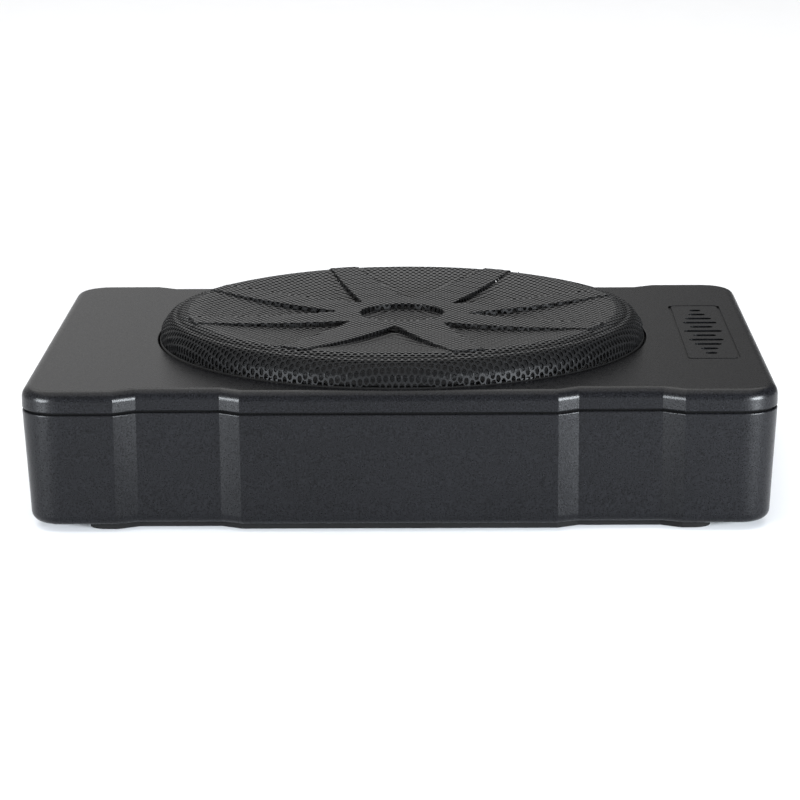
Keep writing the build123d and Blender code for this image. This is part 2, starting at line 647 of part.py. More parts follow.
for name, z in RCA_Z.items():
    with BuildPart() as insulator:
        with Locations((RCA_X, INPUT_Y, z)):
            Cylinder(5, PANEL_Y - INPUT_Y, **ALONG_Y)
            Cylinder(BARREL_BORE, PANEL_Y + 4 - INPUT_Y, **ALONG_Y)
        with Locations((RCA_X, SOCKET_FLOOR_Y, z)):
            Cylinder(1.6, 20, mode=Mode.SUBTRACT, **ALONG_Y)
    insulator.part.label = name + "_insulator"
    export_step(insulator.part, f"parts/{name}_insulator.step")

with BuildPart() as rca_barrels:
    for z in RCA_Z.values():
        with Locations((RCA_X, PANEL_Y, z)):
            Cylinder(5.8, 0.8, **ALONG_Y)
            Cylinder(BARREL_R, RCA_LONG, **ALONG_Y)
            Cylinder(BARREL_BORE, RCA_LONG, mode=Mode.SUBTRACT, **ALONG_Y)
rca_barrels.part.label = "rca_barrels"
export_step(rca_barrels.part, "parts/rca_barrels.step")

for name, x in KNOB_X.items():
    with BuildPart() as knob:
        with Locations((x, PANEL_Y + 1.2, BAY_MID_Z)):
            Cylinder(KNOB_R, KNOB_LONG, **ALONG_Y)
        chamfer(faces().sort_by(Axis.Y)[-1].edges(), 0.6)
        with Locations(Location((x, PANEL_Y + 2.4, BAY_MID_Z), (-90, 0, 0))):
            with PolarLocations(KNOB_R, 16, start_angle=11.25):
                Cylinder(0.55, KNOB_LONG, align=UP, mode=Mode.SUBTRACT)
        with Locations((x, PANEL_Y + 1.2 + KNOB_LONG - 0.8, BAY_MID_Z + 1.5)):
            Box(0.9, 2, KNOB_R, align=(Align.CENTER, Align.MIN, Align.MIN), mode=Mode.SUBTRACT)
        with Locations((x, PANEL_Y + 1.2, BAY_MID_Z)):
            Cylinder(SHAFT_R, SHAFT_LONG, rotation=(90, 0, 0), align=UP)
    knob.part.label = name
    export_step(knob.part, f"parts/{name}.step")

with BuildPart() as potentiometers:
    for x in KNOB_X.values():
        with Locations((x, INPUT_Y, BAY_MID_Z)):
            Box(13, POT_DEPTH, 13, align=BEHIND)
        with Locations((x, BAY_Y, BAY_MID_Z)):
            Cylinder(SHAFT_R + RUNNING, SHAFT_LONG, rotation=(90, 0, 0), align=UP, mode=Mode.SUBTRACT)
potentiometers.part.label = "potentiometers"
export_step(potentiometers.part, "parts/potentiometers.step")

# each slider rests at the left-hand end of its slot
for name, z in SWITCH_Z.items():
    with BuildPart() as slider:
        with Locations((SWITCH_X - SWITCH_TRAVEL / 2, SLIDER_Y, z)):
            Box(3, PANEL_Y + 3 - SLIDER_Y, 3, align=BEHIND)
        chamfer(faces().sort_by(Axis.Y)[-1].edges(), 0.4)
    slider.part.label = name
    export_step(slider.part, f"parts/{name}.step")

with BuildPart() as switch_bodies:
    for z in SWITCH_Z.values():
        with Locations((SWITCH_X, INPUT_Y, z)):
            Box(11, POT_DEPTH, 8, align=BEHIND)
        with Locations((SWITCH_X, SLIDER_Y, z)):
            Box(3 + SWITCH_TRAVEL + 0.2, POT_DEPTH, 3.1, align=BEHIND, mode=Mode.SUBTRACT)
switch_bodies.part.label = "switch_bodies"
export_step(switch_bodies.part, "parts/switch_bodies.step")

with BuildPart() as power_led:
    with Locations((KNOB_X["lowpass_knob"], INPUT_Y, LED_Z)):
        Cylinder(1.5, PANEL_Y - INPUT_Y, **ALONG_Y)
    with Locations((KNOB_X["lowpass_knob"], PANEL_Y, LED_Z)):
        Sphere(1.5)
power_led.part.label = "power_led"
export_step(power_led.part, "parts/power_led.step")

# ---- Amplifier ---------------------------------------------------------------

BOARD_MID_X = (BOARD_X[0] + BOARD_X[1]) / 2
STAND_X, STAND_Y = 63.0, 148.0
SPREADER_X = -165.0
TRANSISTOR_Y = (-27.0, -9.0, 9.0, 27.0)
TRANSISTOR_SCREW_Z = 30.0

with BuildPart() as amplifier_board:
    with Locations(Location((BOARD_MID_X, 0, BOARD_Z))):
        Box(BOARD_X[1] - BOARD_X[0], 2 * BOARD_Y, BOARD_T, align=UP)
        with GridLocations(STAND_X, STAND_Y, 2, 2):
            Cylinder(1.25, BOARD_T, align=UP, mode=Mode.SUBTRACT)
amplifier_board.part.label = "amplifier_board"
export_step(amplifier_board.part, "parts/amplifier_board.step")

with BuildPart() as board_standoffs:
    with Locations(Location((BOARD_MID_X, 0, FLOOR_Z))):
        with GridLocations(STAND_X, STAND_Y, 2, 2):
            Cylinder(3.2, BOARD_Z - FLOOR_Z, align=UP)
            Cylinder(1.25, BOARD_Z, align=UP, mode=Mode.SUBTRACT)
board_standoffs.part.label = "board_standoffs"
export_step(board_standoffs.part, "parts/board_standoffs.step")

with BuildPart() as board_screws:
    with Locations(Location((BOARD_MID_X, 0, BOARD_TOP))):
        with GridLocations(STAND_X, STAND_Y, 2, 2):
            Cylinder(2.8, 1.6, align=UP)
            Cylinder(1.25, 6.5, align=DOWN)
board_screws.part.label = "board_screws"
export_step(board_screws.part, "parts/board_screws.step")

with BuildPart() as heat_spreader:
    with Locations((SPREADER_X, 0, FLOOR_Z)):
        Box(3, 72, 36, align=(Align.MAX, Align.CENTER, Align.MIN))
        Box(16, 72, 3, align=(Align.MIN, Align.CENTER, Align.MIN))
    for y in TRANSISTOR_Y:
        with Locations((SPREADER_X, y, TRANSISTOR_SCREW_Z)):
            Cylinder(1.5, 4, rotation=(0, -90, 0), align=UP, mode=Mode.SUBTRACT)
heat_spreader.part.label = "heat_spreader"
export_step(heat_spreader.part, "parts/heat_spreader.step")

with BuildPart() as power_transistors:
    for y in TRANSISTOR_Y:
        with Locations((SPREADER_X, y, 18)):
            Box(4.4, 10, 9, align=(Align.MIN, Align.CENTER, Align.MIN))
            Box(1.3, 10, 16, align=(Align.MIN, Align.CENTER, Align.MIN))
        with Locations((SPREADER_X, y, TRANSISTOR_SCREW_Z)):
            Cylinder(1.5, 3, rotation=(0, 90, 0), align=UP, mode=Mode.SUBTRACT)
        with Locations(Location((SPREADER_X + 2.8, y, BOARD_TOP))):
            with GridLocations(0, 2.5, 1, 3):
                Box(0.6, 0.8, 18 - BOARD_TOP, align=UP)
power_transistors.part.label = "power_transistors"
export_step(power_transistors.part, "parts/power_transistors.step")

with BuildPart() as transistor_screws:
    for y in TRANSISTOR_Y:
        with Locations((SPREADER_X + 1.3, y, TRANSISTOR_SCREW_Z)):
            Cylinder(2.7, 1.6, rotation=(0, 90, 0), align=UP)
            Cylinder(1.5, 4, rotation=(0, -90, 0), align=UP)
transistor_screws.part.label = "transistor_screws"
export_step(transistor_screws.part, "parts/transistor_screws.step")

TOROID = (-125.0, 38.0, BOARD_TOP + 7.1)
with BuildPart() as toroid_core:
    with Locations(TOROID):
        Cylinder(16, 8)
        Cylinder(10, 8, mode=Mode.SUBTRACT)
toroid_core.part.label = "toroid_core"
export_step(toroid_core.part, "parts/toroid_core.step")

with BuildPart() as toroid_winding:
    with Locations(Location(TOROID)):
        with PolarLocations(13, 16):
            Torus(6.2, 0.9, rotation=(90, 0, 0))
toroid_winding.part.label = "toroid_winding"
export_step(toroid_winding.part, "parts/toroid_winding.step")

CAPACITOR_R, CAPACITOR_H = 9.0, 20.0
with BuildPart() as capacitors:
    with Locations((-104, -62, BOARD_TOP), (-104, -40, BOARD_TOP), (-126, -62, BOARD_TOP)):
        Cylinder(CAPACITOR_R, CAPACITOR_H, align=UP)
    fillet(edges().group_by(Axis.Z)[-1], 1.2)
capacitors.part.label = "capacitors"
export_step(capacitors.part, "parts/capacitors.step")

with BuildPart() as output_inductors:
    with Locations((-134, -36, BOARD_TOP), (-134, -14, BOARD_TOP)):
        Cylinder(8, 1.5, align=UP)
        Cylinder(6, 12, align=UP)
    with Locations((-134, -36, BOARD_TOP + 12), (-134, -14, BOARD_TOP + 12)):
        Cylinder(8, 1.5, align=UP)
output_inductors.part.label = "output_inductors"
export_step(output_inductors.part, "parts/output_inductors.step")

with BuildPart() as driver_chips:
    with Locations((-104, -8, BOARD_TOP), (-104, 12, BOARD_TOP), (-138, 66, BOARD_TOP)):
        Box(10, 14, 2.4, align=UP)
driver_chips.part.label = "driver_chips"
export_step(driver_chips.part, "parts/driver_chips.step")

# ---- Internal wiring ---------------------------------------------------------

HEADER_H = 8.0
OUTPUT_X, OUTPUT_Y = -91.0, -14.0
LOOM_END = (-95.0, 62.0)
LOOM_START = (-45.0, INPUT_Y - BOARD_T - 6, 24.0)

with BuildPart() as cable_headers:
    with Locations((*LOOM_END, BOARD_TOP)):
        Box(12, 10, HEADER_H, align=UP)
    with Locations(LOOM_START):
        Box(12, 6, 10, align=BEHIND)
    with Locations((OUTPUT_X, OUTPUT_Y, BOARD_TOP)):
        Box(10, 12, HEADER_H, align=UP)
cable_headers.part.label = "cable_headers"
export_step(cable_headers.part, "parts/cable_headers.step")

with BuildPart() as board_cable:
    with BuildLine():
        Spline(
            LOOM_START,
            (-58, 84, 27),
            (-80, 72, 32),
            (*LOOM_END, BOARD_TOP + HEADER_H),
            tangents=((0, -1, 0), (0, 0, -1)),
        )
    with BuildSketch(Plane(origin=LOOM_START, z_dir=(0, -1, 0))):
        Circle(2.4)
    sweep()
board_cable.part.label = "board_cable"
export_step(board_cable.part, "parts/board_cable.step")

outward = Vector(1, 0, 0).rotate(Axis.Z, TERMINAL_TURN)
sideways = Vector(0, 1, 0).rotate(Axis.Z, TERMINAL_TURN)
for name, side in {"speaker_wire_red": 1, "speaker_wire_black": -1}.items():
    start = Vector(OUTPUT_X, OUTPUT_Y - side * 3, BOARD_TOP + HEADER_H)
    landing = outward * (TERMINAL_R + TERMINAL_T) + sideways * side * 4 + Vector(0, 0, TERMINAL_Z - 2)
    with BuildPart() as wire:
        with BuildLine():
            Spline(
                start,
                start + Vector(-11, -8 - side, 16),
                landing,
                tangents=((0, 0, 1), outward * -1),
            )
        with BuildSketch(Plane(origin=start, z_dir=(0, 0, 1))):
            Circle(1.1)
        sweep()
    wire.part.label = name
    export_step(wire.part, f"parts/{name}.step")

FELT_X, FELT_SIZE = 138.0, (44.0, 150.0, 14.0)
with BuildPart() as damping_felt:
    with Locations((FELT_X, 0, FLOOR_Z)):
        Box(*FELT_SIZE, align=UP)
    fillet(edges().group_by(Axis.Z)[-1], 3)
damping_felt.part.label = "damping_felt"
export_step(damping_felt.part, "parts/damping_felt.step")
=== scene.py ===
"""Studio scene of the powered car subwoofer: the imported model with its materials, the
perforated grille, the rubber surround and the corrugated suspension in full detail."""

import math

import bpy
import numpy as np
from mathutils import Matrix, Vector


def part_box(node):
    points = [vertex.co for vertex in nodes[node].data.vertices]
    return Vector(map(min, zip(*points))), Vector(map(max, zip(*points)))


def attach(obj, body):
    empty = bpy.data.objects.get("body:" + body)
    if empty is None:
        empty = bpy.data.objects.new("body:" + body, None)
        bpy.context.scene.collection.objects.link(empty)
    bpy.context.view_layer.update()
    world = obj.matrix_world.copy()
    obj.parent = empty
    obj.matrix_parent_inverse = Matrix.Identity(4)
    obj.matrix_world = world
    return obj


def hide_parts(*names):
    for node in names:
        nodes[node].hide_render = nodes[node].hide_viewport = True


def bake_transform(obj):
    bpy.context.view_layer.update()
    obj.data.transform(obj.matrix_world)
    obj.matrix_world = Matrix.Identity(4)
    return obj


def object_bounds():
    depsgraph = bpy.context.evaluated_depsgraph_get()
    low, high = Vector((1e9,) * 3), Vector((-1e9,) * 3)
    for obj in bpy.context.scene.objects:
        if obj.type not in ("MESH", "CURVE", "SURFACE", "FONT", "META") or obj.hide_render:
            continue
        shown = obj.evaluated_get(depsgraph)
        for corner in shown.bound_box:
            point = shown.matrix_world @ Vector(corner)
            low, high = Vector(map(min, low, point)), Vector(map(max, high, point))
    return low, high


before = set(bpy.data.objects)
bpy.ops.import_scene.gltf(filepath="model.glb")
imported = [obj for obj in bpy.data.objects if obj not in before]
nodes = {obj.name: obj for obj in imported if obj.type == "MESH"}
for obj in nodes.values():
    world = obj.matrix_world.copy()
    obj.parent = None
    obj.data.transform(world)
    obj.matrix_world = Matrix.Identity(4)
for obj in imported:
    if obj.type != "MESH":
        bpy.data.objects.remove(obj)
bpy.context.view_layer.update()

MM = 0.001
PATCH_SCALE = 22.0  # slow changes of a surface, in cycles per metre
ROUGH_WANDER = 0.06


# ---- Materials ---------------------------------------------------------------


def new_material(name):
    """An empty node material with its shader: (material, nodes, links, shader)."""
    material = bpy.data.materials.new(name)
    material.use_nodes = True
    tree = material.node_tree
    return material, tree.nodes, tree.links, tree.nodes["Principled BSDF"]


def noise(tree_nodes, links, scale, detail, roughness=0.6):
    """Noise in object space, whose scale is in cycles per metre."""
    place = tree_nodes.new("ShaderNodeTexCoord")
    texture = tree_nodes.new("ShaderNodeTexNoise")
    texture.inputs["Scale"].default_value = scale
    texture.inputs["Detail"].default_value = detail
    texture.inputs["Roughness"].default_value = roughness
    links.new(place.outputs["Object"], texture.inputs["Vector"])
    return texture.outputs["Fac"]


def spread(tree_nodes, links, value, low, high):
    """Maps a noise's middle range to low..high."""
    node = tree_nodes.new("ShaderNodeMapRange")
    node.inputs["From Min"].default_value = 0.3
    node.inputs["From Max"].default_value = 0.7
    node.inputs["To Min"].default_value = low
    node.inputs["To Max"].default_value = high
    links.new(value, node.inputs["Value"])
    return node.outputs["Result"]


def tint(tree_nodes, links, value, dark, light):
    """A colour that wanders between dark and light."""
    ramp = tree_nodes.new("ShaderNodeValToRGB")
    ramp.color_ramp.elements[0].position = 0.3
    ramp.color_ramp.elements[0].color = (*dark, 1)
    ramp.color_ramp.elements[1].position = 0.7
    ramp.color_ramp.elements[1].color = (*light, 1)
    links.new(value, ramp.inputs["Fac"])
    return ramp.outputs["Color"]


def bump(tree_nodes, links, shader, height, distance):
    """Adds relief, whose distance is in metres."""
    node = tree_nodes.new("ShaderNodeBump")
    node.inputs["Strength"].default_value = 1.0
    node.inputs["Distance"].default_value = distance
    links.new(height, node.inputs["Height"])
    links.new(node.outputs["Normal"], shader.inputs["Normal"])


def surface(
    name,
    colour,
    rough,
    metallic=0.0,
    grain=900.0,
    relief=0.00003,
    wander=0.25,
    specular=0.5,
    coat=0.0,
    sheen=0.0,
):
    """A grained surface, with slow changes of colour and gloss over it."""
    material, tree_nodes, links, shader = new_material(name)
    slow = noise(tree_nodes, links, PATCH_SCALE, 4)
    fine = noise(tree_nodes, links, grain, 2, 0.7)
    dark = tuple(c * (1 - wander) for c in colour)
    light = tuple(min(1, c * (1 + wander)) for c in colour)
    links.new(tint(tree_nodes, links, slow, dark, light), shader.inputs["Base Color"])
    gloss = spread(tree_nodes, links, slow, rough - ROUGH_WANDER, rough + ROUGH_WANDER)
    links.new(gloss, shader.inputs["Roughness"])
    shader.inputs["Metallic"].default_value = metallic
    shader.inputs["Specular IOR Level"].default_value = specular
    shader.inputs["Coat Weight"].default_value = coat
    shader.inputs["Sheen Weight"].default_value = sheen
    if relief:
        bump(tree_nodes, links, shader, fine, relief)
    return material


def satin(name, colour):
    """Moulded plastic with a fine spark-eroded grain in its gloss and its colour."""
    material, tree_nodes, links, shader = new_material(name)
    slow = noise(tree_nodes, links, 14, 4)
    speckle = noise(tree_nodes, links, 1400, 3, 0.7)
    mixed = tree_nodes.new("ShaderNodeMath")
    mixed.operation = "MULTIPLY_ADD"
    links.new(slow, mixed.inputs[0])
    mixed.inputs[1].default_value = 0.25
    links.new(spread(tree_nodes, links, speckle, 0.0, 0.75), mixed.inputs[2])
    dark = tuple(c * 0.5 for c in colour)
    light = tuple(c * 1.6 for c in colour)
    paint = tint(tree_nodes, links, mixed.outputs["Value"], dark, light)
    links.new(paint, shader.inputs["Base Color"])
    links.new(spread(tree_nodes, links, speckle, 0.24, 0.34), shader.inputs["Roughness"])
    shine = spread(tree_nodes, links, speckle, 0.13, 0.18)
    links.new(shine, shader.inputs["Specular IOR Level"])
    bump(tree_nodes, links, shader, speckle, 0.00004)
    return material


def sheet_with_painted_shade(name):
    """Coated sheet with painted light and shade: lighter where it lies flat, darker on steep walls
    and in holes.

    The change with slope is for the look alone."""
    material, tree_nodes, links, shader = new_material(name)
    slow = noise(tree_nodes, links, PATCH_SCALE, 4)
    place = tree_nodes.new("ShaderNodeTexCoord")
    split = tree_nodes.new("ShaderNodeSeparateXYZ")
    links.new(place.outputs["Normal"], split.inputs["Vector"])
    # how flat the sheet lies, which sets the painted shade below
    flat = tree_nodes.new("ShaderNodeMapRange")
    flat.interpolation_type = "SMOOTHSTEP"
    flat.inputs["From Min"].default_value = 0.955
    flat.inputs["From Max"].default_value = 0.998
    flat.inputs["To Min"].default_value = 0.3
    flat.inputs["To Max"].default_value = 0.7
    links.new(split.outputs["Z"], flat.inputs["Value"])
    facing = flat.outputs["Result"]
    # painted shade: the coat's colour darkens from the flat sheet to steep walls and hole walls
    paint = tint(tree_nodes, links, facing, (0.0055, 0.0055, 0.0057), (0.045, 0.045, 0.046))
    links.new(paint, shader.inputs["Base Color"])
    gloss = tree_nodes.new("ShaderNodeMath")
    gloss.operation = "MULTIPLY_ADD"
    links.new(slow, gloss.inputs[0])
    gloss.inputs[1].default_value = 0.1
    links.new(spread(tree_nodes, links, facing, 0.42, 0.30), gloss.inputs[2])
    links.new(gloss.outputs["Value"], shader.inputs["Roughness"])
    links.new(spread(tree_nodes, links, facing, 0.09, 0.32), shader.inputs["Specular IOR Level"])
    return material


LOOKS = {
    "shell": satin("moulded_black", (0.0032, 0.0033, 0.0040)),
    "base": surface("matt_base", (0.005, 0.005, 0.005), rough=0.8, specular=0.1),
    "seal": surface(
        "foam_seal", (0.003, 0.003, 0.003), rough=0.9, grain=2500, relief=0.0001, specular=0.03
    ),
    "grille": sheet_with_painted_shade("grille_coat_painted_shade"),
    "zinc": surface(
        "zinc_plate", (0.55, 0.56, 0.58), rough=0.32, metallic=1, grain=2500, relief=0.00001
    ),
    "steel_black": surface(
        "black_oxide", (0.03, 0.03, 0.032), rough=0.35, metallic=0.7, grain=2500
    ),
    "frame": surface("frame_coat", (0.006, 0.006, 0.0065), rough=0.5, grain=1800, specular=0.3),
    "ferrite": surface("ferrite", (0.035, 0.036, 0.04), rough=0.6, grain=1200, relief=0.00008),
    "rubber": surface(
        "butyl_rubber", (0.005, 0.005, 0.0055), rough=0.55, grain=2200, relief=0.00002, specular=0.25
    ),
    "cone": surface(
        "cone_moulding", (0.005, 0.005, 0.0055), rough=0.6, grain=700, relief=0.00006, specular=0.2
    ),
    "cap": surface(
        "cap_moulding", (0.006, 0.006, 0.0065), rough=0.4, grain=2500, relief=0.00001, specular=0.3
    ),
    "aluminium": surface(
        "aluminium", (0.62, 0.63, 0.65), rough=0.4, metallic=1, grain=900, relief=0.00003
    ),
    "copper": surface(
        "enamelled_copper", (0.60, 0.22, 0.08), rough=0.28, metallic=1, grain=1500, relief=0.00003
    ),
    "cloth": surface(
        "resin_cloth", (0.40, 0.27, 0.08), rough=0.8, grain=2600, relief=0.00015, sheen=0.2
    ),
    "tan_board": surface("fibre_board", (0.26, 0.17, 0.08), rough=0.7, grain=1500, relief=0.00005),
    "board": surface(
        "solder_mask", (0.012, 0.10, 0.035), rough=0.35, grain=600, relief=0.00004, coat=0.3
    ),
    "red_wire": surface(
        "red_insulation", (0.45, 0.01, 0.01), rough=0.4, grain=1800, relief=0.00002
    ),
    "black_wire": surface(
        "black_insulation", (0.012, 0.012, 0.012), rough=0.45, grain=1800, relief=0.00002
    ),
    "epoxy": surface(
        "moulded_epoxy", (0.014, 0.014, 0.015), rough=0.55, grain=2600, relief=0.00002
    ),
    "core": surface("ferrite_core", (0.05, 0.05, 0.055), rough=0.55, grain=1600, relief=0.00004),
    "sleeve": surface(
        "capacitor_sleeve", (0.01, 0.015, 0.07), rough=0.25, grain=1200, relief=0.00001, coat=0.4
    ),
    "panel": surface("panel_black", (0.012, 0.012, 0.013), rough=0.5, grain=2200, relief=0.00003),
    "nylon": surface("natural_nylon", (0.62, 0.60, 0.53), rough=0.45, grain=1500, relief=0.00002),
    "black_nylon": surface(
        "black_nylon", (0.012, 0.012, 0.012), rough=0.4, grain=1800, relief=0.00002
    ),
    "pin": surface(
        "tinned_pin", (0.72, 0.62, 0.40), rough=0.25, metallic=1, grain=2500, relief=0.00001
    ),
    "rca_red": surface(
        "red_insert", (0.50, 0.008, 0.008), rough=0.3, grain=1800, relief=0.00001, coat=0.2
    ),
    "rca_white": surface(
        "white_insert", (0.78, 0.78, 0.76), rough=0.3, grain=1800, relief=0.00001, coat=0.2
    ),
    "nickel": surface(
        "nickel_plate", (0.70, 0.69, 0.66), rough=0.18, metallic=1, grain=2500, relief=0.000005
    ),
    "knob": surface("knob_rubber", (0.010, 0.010, 0.010), rough=0.5, grain=2400, relief=0.00003),
    "fuse": surface(
        "fuse_body", (0.02, 0.10, 0.55), rough=0.22, grain=1200, relief=0.00001, coat=0.3
    ),
    "lens": surface("lens", (0.10, 0.30, 0.75), rough=0.12, grain=1500, relief=0.0),
    "felt": surface(
        "wadding", (0.22, 0.22, 0.23), rough=0.95, grain=1800, relief=0.0006, sheen=0.4
    ),
}

FINISH = {
    "lower_shell": "shell",
    "top_cover": "shell",
    "cover_gasket": "seal",
    "woofer_gasket": "seal",
    "magnet_pad": "seal",
    "base_plate": "base",
    "base_plate_screws": "zinc",
    "cover_screws": "steel_black",
    "woofer_screws": "steel_black",
    "panel_screws": "steel_black",
    "grille": "grille",
    "grille_clips": "frame",
    "woofer_basket": "frame",
    "top_plate": "zinc",
    "pole_yoke": "zinc",
    "motor_screws": "zinc",
    "magnet": "ferrite",
    "terminal_block": "tan_board",
    "cone": "cone",
    "dust_cap": "cap",
    "voice_coil_former": "aluminium",
    "voice_coil": "copper",
    "surround": "rubber",
    "spider": "cloth",
    "control_panel": "panel",
    "input_board": "board",
    "amplifier_board": "board",
    "power_socket": "nylon",
    "speaker_level_socket": "nylon",
    "cable_headers": "nylon",
    "remote_jack": "black_nylon",
    "fuse_holder": "black_nylon",
    "switch_bodies": "black_nylon",
    "potentiometers": "black_nylon",
    "power_pins": "pin",
    "speaker_level_pins": "pin",
    "fuse": "fuse",
    "rca_left_insulator": "rca_white",
    "rca_right_insulator": "rca_red",
    "rca_barrels": "nickel",
    "gain_knob": "knob",
    "lowpass_knob": "knob",
    "bass_knob": "knob",
    "phase_switch": "knob",
    "mode_switch": "knob",
    "power_led": "lens",
    "board_standoffs": "zinc",
    "board_screws": "zinc",
    "transistor_screws": "zinc",
    "heat_spreader": "aluminium",
    "power_transistors": "epoxy",
    "driver_chips": "epoxy",
    "toroid_core": "core",
    "output_inductors": "core",
    "toroid_winding": "copper",
    "capacitors": "sleeve",
    "board_cable": "black_wire",
    "speaker_wire_black": "black_wire",
    "speaker_wire_red": "red_wire",
    "damping_felt": "felt",
}

for node, look in FINISH.items():
    for place in nodes[node].material_slots:
        place.material = LOOKS[look]


# ---- Pieces made here --------------------------------------------------------


def add_mesh(name, points, faces, look, smooth=True):
    """A new mesh object from points in metres."""
    mesh = bpy.data.meshes.new(name)
    mesh.from_pydata([tuple(p) for p in points], [], faces)
    mesh.validate()
    mesh.materials.append(LOOKS[look])
    piece = bpy.data.objects.new(name, mesh)
    bpy.context.scene.collection.objects.link(piece)
    if smooth:
        mesh.shade_smooth()
    return piece


def smooth_curve(knots, at):
    """Heights of a smooth curve through the knots, at the given radii."""
    x, y = np.array(knots, float).T
    slope = np.gradient(y, x)
    at = np.clip(at, x[0], x[-1])
    i = np.clip(np.searchsorted(x, at, side="right") - 1, 0, len(x) - 2)
    h = x[i + 1] - x[i]
    t = (at - x[i]) / h
    return (
        y[i] * (1 + 2 * t) * (1 - t) ** 2
        + slope[i] * h * t * (1 - t) ** 2
        + y[i + 1] * t * t * (3 - 2 * t)
        + slope[i + 1] * h * t * t * (t - 1)
    )


# grille, in millimetres: pressed from one perforated sheet with a star of eight spokes
GRILLE_R, GRILLE_FOOT_Z, RIM_TOP_Z = 126.8, 66.0, 71.3
PITCH, SHEET = 3.32, 0.9
FACE_HOLE_R, SKIRT_HOLE_R = 1.15, 1.3
HOLE_SIDES = 12
CREST_R = 112.0
FACE = ((0, 82.6), (40, 82.8), (70, 83.5), (95, 84.9), (108, 85.9), (112, 86.15))
FLOOR = ((0, 79.6), (40, 80.1), (70, 81.3), (95, 83.6), (108, 85.2), (112, 85.45))
SPOKES, SPOKE_TURN, SPOKE_END = 8, 62.5, 113.0
HUB_R, DISH_R = 35.0, 22.0
SPOKE_HALF = ((30, 12.7), (113, 7.8))
STEEP = 0.2  # plan width of a pressed step, over its height
EASE = 5.0  # sheet beside the step that is stretched
# skirt: distance over the flat sheet, radius and height
SKIRT = (
    (112, 112, 85.45),
    (118, 117, 84.2),
    (128.5, 123.4, 80.6),
    (131.5, 126.0, 77.0),
    (138, 126.8, 67.5),
)
SKIRT_RISE = 0.7  # how far the star's ends stand above the skirt
HUB_EDGE, SKIRT_END = 74, 135.5  # where the perforated rings meet and end


def ramp(t):
    """A smooth rise from 0 to 1."""
    t = np.clip(t, 0, 1)
    return t * t * (3 - 2 * t)


def star_depth(x, y):
    """How far inside the raised star a point of the plan lies; negative outside."""
    r = np.hypot(x, y)
    inside = np.minimum(HUB_R - r, r - DISH_R)
    for k in range(SPOKES):
        turn = math.radians(SPOKE_TURN + k * 360 / SPOKES)
        along = x * math.cos(turn) + y * math.sin(turn)
        across = np.abs(y * math.cos(turn) - x * math.sin(turn))
        half = np.interp(along, *zip(*SPOKE_HALF))
        spoke = np.minimum(half - across, np.minimum(along, r - DISH_R))
        inside = np.maximum(inside, np.where(along > 0, spoke, -99))
    return np.minimum(inside, SPOKE_END - r)


def press(flat):
    """Maps points of the flat sheet to the pressed shape."""
    s = np.hypot(flat[:, 0], flat[:, 1])
    way = flat / np.maximum(s, 1e-9)[:, None]
    distance, radius, height = np.array(SKIRT, float).T
    r = np.where(s < CREST_R, s, np.interp(s, distance, radius))
    skirt_z = smooth_curve([(d, z) for d, _, z in SKIRT], s)
    x, y = way[:, 0] * r, way[:, 1] * r
    low = np.where(s < CREST_R, smooth_curve(FLOOR, s), skirt_z)
    high = np.where(s < CREST_R, smooth_curve(FACE, s), skirt_z + SKIRT_RISE)
    # beside the star the sheet is drawn down a step as long as it is high
    fall = high - low
    depth = star_depth(x, y)
    out = np.maximum(-depth, 0)
    ease = ramp(1 - (out - fall) / EASE)
    pull = (1 - STEEP) * np.where(out < fall, out, fall * ease)
    towards_x = (star_depth(x + 0.01, y) - depth) / 0.01
    towards_y = (star_depth(x, y + 0.01) - depth) / 0.01
    level = high - fall * ramp(out / fall)
    return np.column_stack([x + towards_x * pull, y + towards_y * pull, level])


def perforated(name, near, far, hole_r):
    """A ring of the perforated sheet, between two distances from its centre.

    It is made of hexagons with a round hole each, which share their corners."""
    reach = int(far / PITCH) + 3
    cells = []
    for j in range(-2 * reach, 2 * reach + 1):
        for i in range(-2 * reach, 2 * reach + 1):
            centre = ((i + (j % 2) / 2) * PITCH, j * PITCH * math.sqrt(3) / 2)
            if near <= math.hypot(*centre) < far:
                cells.append(centre)
    centres = np.array(cells)
    turns = np.radians(np.arange(6) * 60 + 30)
    corners = PITCH / math.sqrt(3) * np.column_stack([np.cos(turns), np.sin(turns)])
    around = np.radians(np.arange(HOLE_SIDES) * 360 / HOLE_SIDES + 30)
    rim = hole_r * np.column_stack([np.cos(around), np.sin(around)])
    count = len(centres)
    corner_points = (centres[:, None] + corners).reshape(-1, 2)
    _, first, same = np.unique(
        np.round(corner_points, 3), axis=0, return_index=True, return_inverse=True
    )
    same = same.reshape(count, 6)
    flat = np.vstack([corner_points[first], (centres[:, None] + rim).reshape(-1, 2)])
    top = press(flat)
    # the underside lies a sheet's thickness below, along the surface's slope
    dx = press(flat + (0.05, 0)) - top
    dy = press(flat + (0, 0.05)) - top
    normal = np.cross(dx, dy)
    normal /= np.linalg.norm(normal, axis=1)[:, None]
    points = np.vstack([top, top - normal * SHEET]) * MM
    under = len(top)
    step = HOLE_SIDES // 6
    faces = []
    edges = {}
    for c in range(count):
        base = len(first) + c * HOLE_SIDES
        for k in range(6):
            a, b = int(same[c, k]), int(same[c, (k + 1) % 6])
            hole = [base + (k * step + n) % HOLE_SIDES for n in range(step + 1)]
            faces.append([a, b, *reversed(hole)])
            faces.append([under + v for v in (*hole, b, a)])
            edges[(a, b)] = (b, a) not in edges
            if not edges[(a, b)]:
                edges[(b, a)] = False
        for n in range(HOLE_SIDES):
            a, b = base + n, base + (n + 1) % HOLE_SIDES
            faces.append([a, under + a, under + b, b])
    for (a, b), lone in edges.items():
        if lone:
            faces.append([b, a, under + a, under + b])
    piece = add_mesh(name, points, faces, "grille", smooth=False)
    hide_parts("grille")
    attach(piece, "enclosure")


